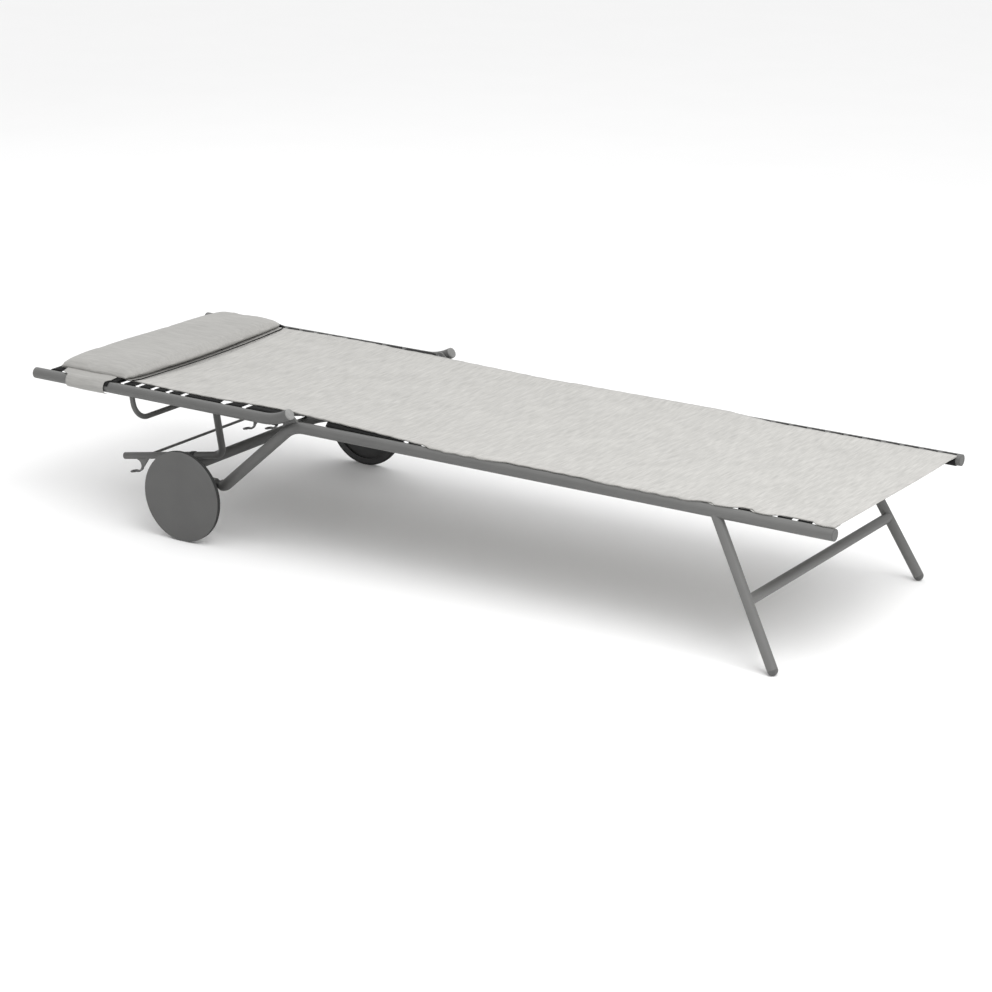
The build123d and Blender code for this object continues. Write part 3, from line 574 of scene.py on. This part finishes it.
def band_faces(count, steps, side, first=0):
    """Faces of a closed band of two layers, each with count lines of steps + 1 points."""
    width = steps + 1
    block = count * width
    faces = []
    for layer in (0, 1):
        for i in range(count - 1):
            for j in range(steps):
                a = first + layer * block + i * width + j
                quad = (a, a + 1, a + width + 1, a + width)
                faces.append(quad if (layer == 0) == (side < 0) else quad[::-1])
    rim = [i * width for i in range(count)]
    rim += [(count - 1) * width + j for j in range(1, width)]
    rim += [i * width + steps for i in range(count - 2, -1, -1)]
    rim += list(range(steps - 1, 0, -1))
    for a, b in zip(rim, rim[1:] + rim[:1]):
        quad = (first + a, first + b, first + b + block, first + a + block)
        faces.append(quad if side < 0 else quad[::-1])
    return faces


def strap_points(line, last_line, side, start, end, steps):
    """Points of one flat strap swept along X, from its first line to its last line.

    start and end are pairs: the X at the hem and the X at the rail.
    """
    points = []
    normals = line_normals(line)
    for layer in (1, -1):
        for i, (first_y, first_z) in enumerate(line):
            share = i / (len(line) - 1)
            low = start[0] + (start[1] - start[0]) * share
            high = end[0] + (end[1] - end[0]) * share
            ny, nz = normals[i]
            for j in range(steps + 1):
                x = low + (high - low) * j / steps
                y = first_y + (last_line[i][0] - first_y) * j / steps
                z = first_z + (last_line[i][1] - first_z) * j / steps
                lift = 0.0003 * wobble(x * 60, z * 200, 7.0)
                offset = layer * STRAP_T / 2 + lift
                points.append((x, side * (y + ny * offset), z + nz * offset))
    return points


def regular_spans(first, count):
    """Straps of one width at an even pitch; first is the middle of the first one."""
    spans = []
    for i in range(count):
        low = first + i * STRAP_PITCH - STRAP_W / 2
        spans.append(((low, low), (low + STRAP_W, low + STRAP_W)))
    return spans


# each strap: its X at the hem and at the rail, at its start and at its end
SEAT_SPANS = [((-0.205, -0.188), (-0.001, -0.001))] + regular_spans(SEAT_STRAP_X, 23)
BACK_SPANS = regular_spans(BACK_STRAP_X, 9) + [
    ((-0.572, -0.572), (-0.481, -0.448)),
    ((-0.447, -0.492), (-0.4155, -0.4155)),
    ((-0.4025, -0.4025), (-0.318, -0.318)),
]


def make_straps(name, side, rail, spans, body, node):
    """All straps along one rail, as one piece."""
    points, faces = [], []
    for start, end in spans:
        reach = min(hem_reach(x, side) for x in (start[0], (start[0] + end[0]) / 2, end[0]))
        lines = [strap_line(*rail, hem_line(x, 2) - STRAP_UNDER, reach) for x in (start[0], end[0])]
        steps = 8 if end[0] - start[0] > WIDE_STRAP else 4
        faces += band_faces(len(lines[0]), steps, side, len(points))
        points += strap_points(*lines, side, start, end, steps)
    straps = piece(name, points, faces, "webbing")
    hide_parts(node)
    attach(straps, body)


for side_name, side_sign in SIDES:
    make_straps(
        f"seat_straps_{side_name}",
        side_sign,
        (SEAT_RAIL_Y, SEAT_RAIL_Z),
        SEAT_SPANS,
        "frame",
        f"seat_tabs_{side_name}",
    )
    make_straps(
        f"back_straps_{side_name}",
        side_sign,
        (BACK_RAIL_Y, BACK_RAIL_Z),
        BACK_SPANS,
        "backrest",
        f"back_tabs_{side_name}",
    )


# ---- head pillow -------------------------------------------------------------------------
def pillow_front(y):
    """X of the pillow's front seam, which bows towards the foot a little off the middle."""
    share = abs(y) / PILLOW_END_Y
    bow = 0.0072 * ((y + 0.07) / 0.2) ** 2
    return PILLOW_FRONT_X - bow - 0.010 * smoothstep(0.93, 1.0, share) - 0.004


def pillow_point(around, y):
    """A point of the pillow's skin before it is blown up: around is 0 to 1 round the section."""
    share = abs(y) / PILLOW_END_Y
    close = math.sqrt(max(0.0, 1 - share**16))
    front = pillow_front(y)
    head = PILLOW_HEAD_X + 0.005 + 0.006 * share**8 + 0.004 * smoothstep(-0.1, 0.28, y)
    mid_x = (head + front) / 2
    half_x = (front - head) / 2
    low = PILLOW_BASE + 0.0002
    high = PILLOW_TOP - 0.003 - 0.004 * smoothstep(0.6, 1.0, share) - 0.003 * smoothstep(-0.1, 0.25, y)
    seam = 0.0008 + 0.0082 * close
    angle = 2 * math.pi * around
    forward, up = math.cos(angle), math.sin(angle)
    x = mid_x + half_x * math.copysign(abs(forward) ** 0.68, forward)
    if up >= 0:
        z = low + seam + (high - low - seam) * up**0.72 * (0.06 + 0.94 * close)
    else:
        z = low + seam - seam * (-up) ** 0.5
    return x, y, z


def pillow_shell():
    """The pillow's closed skin, as sections side by side across the lounger."""
    around = 72
    ys = [PILLOW_END_Y * math.sin(math.pi / 2 * t) for t in grid_values(-1, 1, 0.025)]
    points, faces = [], []
    for y in ys:
        for k in range(around):
            points.append(pillow_point(k / around, y))
    for i in range(len(ys) - 1):
        for k in range(around):
            a, b = i * around + k, i * around + (k + 1) % around
            faces.append((a, a + around, b + around, b))
    last = (len(ys) - 1) * around
    faces.append(tuple(range(around)))
    faces.append(tuple(last + k for k in reversed(range(around))))
    return points, faces


def blow_up(thing, voxel=0.005, pressure=4.0, limit=0.006, steps=20):
    """Remeshes a closed skin, inflates it as cloth and keeps the result."""
    mesh = thing.data
    remesh = thing.modifiers.new("remesh", "REMESH")
    remesh.mode = "VOXEL"
    remesh.voxel_size = voxel
    graph = bpy.context.evaluated_depsgraph_get()
    even = bpy.data.meshes.new_from_object(thing.evaluated_get(graph))
    thing.modifiers.clear()
    thing.data = even
    bpy.data.meshes.remove(mesh)
    rest = [v.co.copy() for v in even.vertices]
    cloth = thing.modifiers.new("cloth", "CLOTH")
    cloth.settings.use_pressure = True
    cloth.settings.uniform_pressure_force = pressure
    cloth.settings.effector_weights.gravity = 0
    cloth.settings.quality = 6
    for step in range(1, steps + 1):
        bpy.context.scene.frame_set(step)
    graph = bpy.context.evaluated_depsgraph_get()
    blown = thing.evaluated_get(graph).to_mesh()
    for vertex, was, now in zip(even.vertices, rest, blown.vertices):
        move = now.co - was
        if move.length > limit:
            move *= limit / move.length
        vertex.co = was + move
    thing.evaluated_get(graph).to_mesh_clear()
    thing.modifiers.clear()
    bpy.context.scene.frame_set(1)


def make_pillow():
    points, faces = pillow_shell()
    pillow = piece("pillow", points, faces, "pillow_fabric")
    blow_up(pillow)
    for vertex in pillow.data.vertices:
        co = vertex.co
        share = abs(co.y) / PILLOW_END_Y
        # creases that fan out from the sewn ends
        pull = smoothstep(0.72, 1.0, share) * (1 - smoothstep(0.985, 1.0, share))
        co.z += 0.0016 * pull * wobble(co.x * 55, co.y * 7, 2.0)
        co.z += 0.0012 * wobble(co.x * 9, co.y * 6, 8.0)
        co.z = max(co.z, PILLOW_BASE)
    shade_smooth(pillow.data)
    finer = pillow.modifiers.new("finer", "SUBSURF")
    finer.levels = 1
    finer.render_levels = 1
    pillow.data.materials.clear()
    pillow.data.materials.append(SURFACES["pillow_fabric"])
    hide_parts("head_pillow")
    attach(pillow, "backrest")


make_pillow()


def tube_along(name, centres, radius, slot_name, body):
    """A round trim swept along a line of points."""
    curve = bpy.data.curves.new(name, "CURVE")
    curve.dimensions = "3D"
    curve.bevel_depth = radius
    curve.bevel_resolution = 3
    spline = curve.splines.new("NURBS")
    spline.points.add(len(centres) - 1)
    for spot, centre in zip(spline.points, centres):
        spot.co = (*centre, 1)
    spline.order_u = 3
    spline.use_endpoint_u = True
    curve.use_fill_caps = True
    curve.materials.append(SURFACES[slot_name])
    thing = bpy.data.objects.new(name, curve)
    bpy.context.scene.collection.objects.link(thing)
    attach(thing, body)


def shadow_piping_line(half_steps=15):
    """Line of the black trim along the pillow's front seam. The dark tube also stands in for the shadow
    line under the pillow's front, so it is partly painted shade.
    """
    line = []
    for i in range(2 * half_steps + 1):
        y = (PILLOW_END_Y - 0.008) * (i / half_steps - 1)
        line.append((pillow_front(y) + 0.0034, y, PILLOW_BASE + 0.0012))
    return line


# a black trim under the pillow's front seam, partly a real trim and partly painted shade: it stands in
# for the shadow line there
tube_along("pillow_shadow_piping", shadow_piping_line(), SHADOW_PIPING_R, "webbing", "backrest")


# ---- pillow flaps over the rails ---------------------------------------------------------------
def flap_line(clearance, start_deg, end_deg, steps=24):
    """Middle line of a band that leaves the pillow's end and wraps over the rail."""
    radius = RAIL_R + clearance
    line = [(0.272, PILLOW_BASE + 0.0012 + clearance / 2), (0.284, PILLOW_BASE + 0.0010 + clearance / 2)]
    for i in range(steps + 1):
        angle = math.radians(start_deg + (end_deg - start_deg) * i / steps)
        line.append((BACK_RAIL_Y + radius * math.cos(angle), BACK_RAIL_Z + radius * math.sin(angle)))
    return line


def make_band(name, side, line, start, end, slot_name, steps, ruffle):
    """start and end are pairs: the X where the band leaves the pillow and further down the rail."""
    points = []
    count = len(line)
    normals = line_normals(line)
    for layer in (1, -1):
        for i, (y, z) in enumerate(line):
            ny, nz = normals[i]
            # the band has its width on the rail from a quarter of its line on
            share = min(1.0, 4 * i / (count - 1))
            low = start[0] + (start[1] - start[0]) * share
            high = end[0] + (end[1] - end[0]) * share
            for j in range(steps + 1):
                x = low + (high - low) * j / steps
                puff = ruffle * wobble(x * 22, i * 0.16, 3.0) + ruffle * 0.5
                offset = layer * BAND_THICK / 2 + max(0.0, puff)
                points.append((x, side * (y + ny * offset), z + nz * offset))
    return piece(name, points, band_faces(count, steps, side), slot_name)


for side_name, side_sign in SIDES:
    flap = make_band(
        f"pillow_wrap_{side_name}",
        side_sign,
        flap_line(0.0028, 94, -77),
        (-0.926, -0.898),
        (-0.774, -0.789),
        "pillow_fabric",
        steps=30,
        ruffle=0.0014,
    )
    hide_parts(f"pillow_flap_{side_name}")
    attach(flap, "backrest")
    strap = make_band(
        f"pillow_strap_{side_name}",
        side_sign,
        flap_line(0.0012, 100, 20),
        (-0.792, -0.800),
        (-0.757, -0.779),
        "webbing",
        steps=6,
        ruffle=0.0,
    )
    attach(strap, "backrest")


# ---- stage, light and camera ------------------------------------------------------------------------
# the floor reaches this far from the middle
FLOOR_HALF = 12
# where the camera stands, and its lens in mm
CAMERA_PLACE = (3.17033, -4.75561, 1.96789)
CAMERA_AZIMUTH = math.radians(33.321)
CAMERA_ELEVATION = math.radians(17.993)
CAMERA_ROLL = math.radians(0.241)
CAMERA_LENS = 100.05
CAMERA_SENSOR = 36


def make_floor():
    corners = ((-1, -1), (1, -1), (1, 1), (-1, 1))
    points = [(FLOOR_HALF * x, FLOOR_HALF * y, 0) for x, y in corners]
    mesh = bpy.data.meshes.new("floor")
    mesh.from_pydata(points, [], [(0, 1, 2, 3)])
    floor = bpy.data.objects.new("floor", mesh)
    bpy.context.scene.collection.objects.link(floor)
    material, tree, shader = new_material("floor_paint", (0.9, 0.9, 0.9), 0.9)
    cloud = noise_value(tree, scaled_coords(tree, (1, 1, 1)), 3, 3)
    tone = mix_colour(tree, cloud, (0.89, 0.89, 0.89), (0.91, 0.91, 0.91))
    tree.links.new(tone, shader.inputs["Base Color"])
    floor.data.materials.append(material)


def area_light(name, place, target, size, power):
    """A rectangular lamp that faces a target; size in metres, power in watts."""
    light = bpy.data.lights.new(name, "AREA")
    light.shape = "RECTANGLE"
    light.size, light.size_y = size
    light.energy = power
    thing = bpy.data.objects.new(name, light)
    thing.location = place
    thing.rotation_mode = "QUATERNION"
    aim = Vector(target) - Vector(place)
    thing.rotation_quaternion = aim.to_track_quat("-Z", "Y")
    bpy.context.scene.collection.objects.link(thing)


def light_room():
    """White surroundings, brightest overhead and falling off towards the horizon."""
    world = bpy.context.scene.world or bpy.data.worlds.new("world")
    bpy.context.scene.world = world
    world.use_nodes = True
    tree = world.node_tree
    background = tree.nodes["Background"]
    background.inputs["Color"].default_value = (1, 1, 1, 1)
    height = add(tree, "ShaderNodeSeparateXYZ")
    tree.links.new(add(tree, "ShaderNodeTexCoord").outputs["Generated"], height.inputs[0])
    strength = remap(tree, height.outputs["Z"], 0.0, 0.9, 0.60, 1.15)
    tree.links.new(strength, background.inputs["Strength"])


def make_camera():
    """The camera looks along a line set by its azimuth and elevation, rolled a little."""
    back = Vector(
        (
            math.sin(CAMERA_AZIMUTH) * math.cos(CAMERA_ELEVATION),
            -math.cos(CAMERA_AZIMUTH) * math.cos(CAMERA_ELEVATION),
            math.sin(CAMERA_ELEVATION),
        )
    )
    data = bpy.data.cameras.new("camera")
    data.sensor_width = CAMERA_SENSOR
    data.lens = CAMERA_LENS
    data.clip_start, data.clip_end = 0.1, 60
    camera = bpy.data.objects.new("camera", data)
    camera.location = CAMERA_PLACE
    camera.rotation_mode = "QUATERNION"
    aim = (-back).to_track_quat("-Z", "Y")
    camera.rotation_quaternion = aim @ Matrix.Rotation(CAMERA_ROLL, 3, "Z").to_quaternion()
    bpy.context.scene.collection.objects.link(camera)
    bpy.context.scene.camera = camera


make_floor()
bpy.context.scene.view_settings.view_transform = "Standard"
light_room()
area_light("key", (2.4, -1.0, 3.4), (0.4, 0, 0.2), (3.0, 3.0), 105)
area_light("fill", (-3.5, 1.5, 3.0), (0, 0, 0.2), (3.0, 2.0), 15)
make_camera()
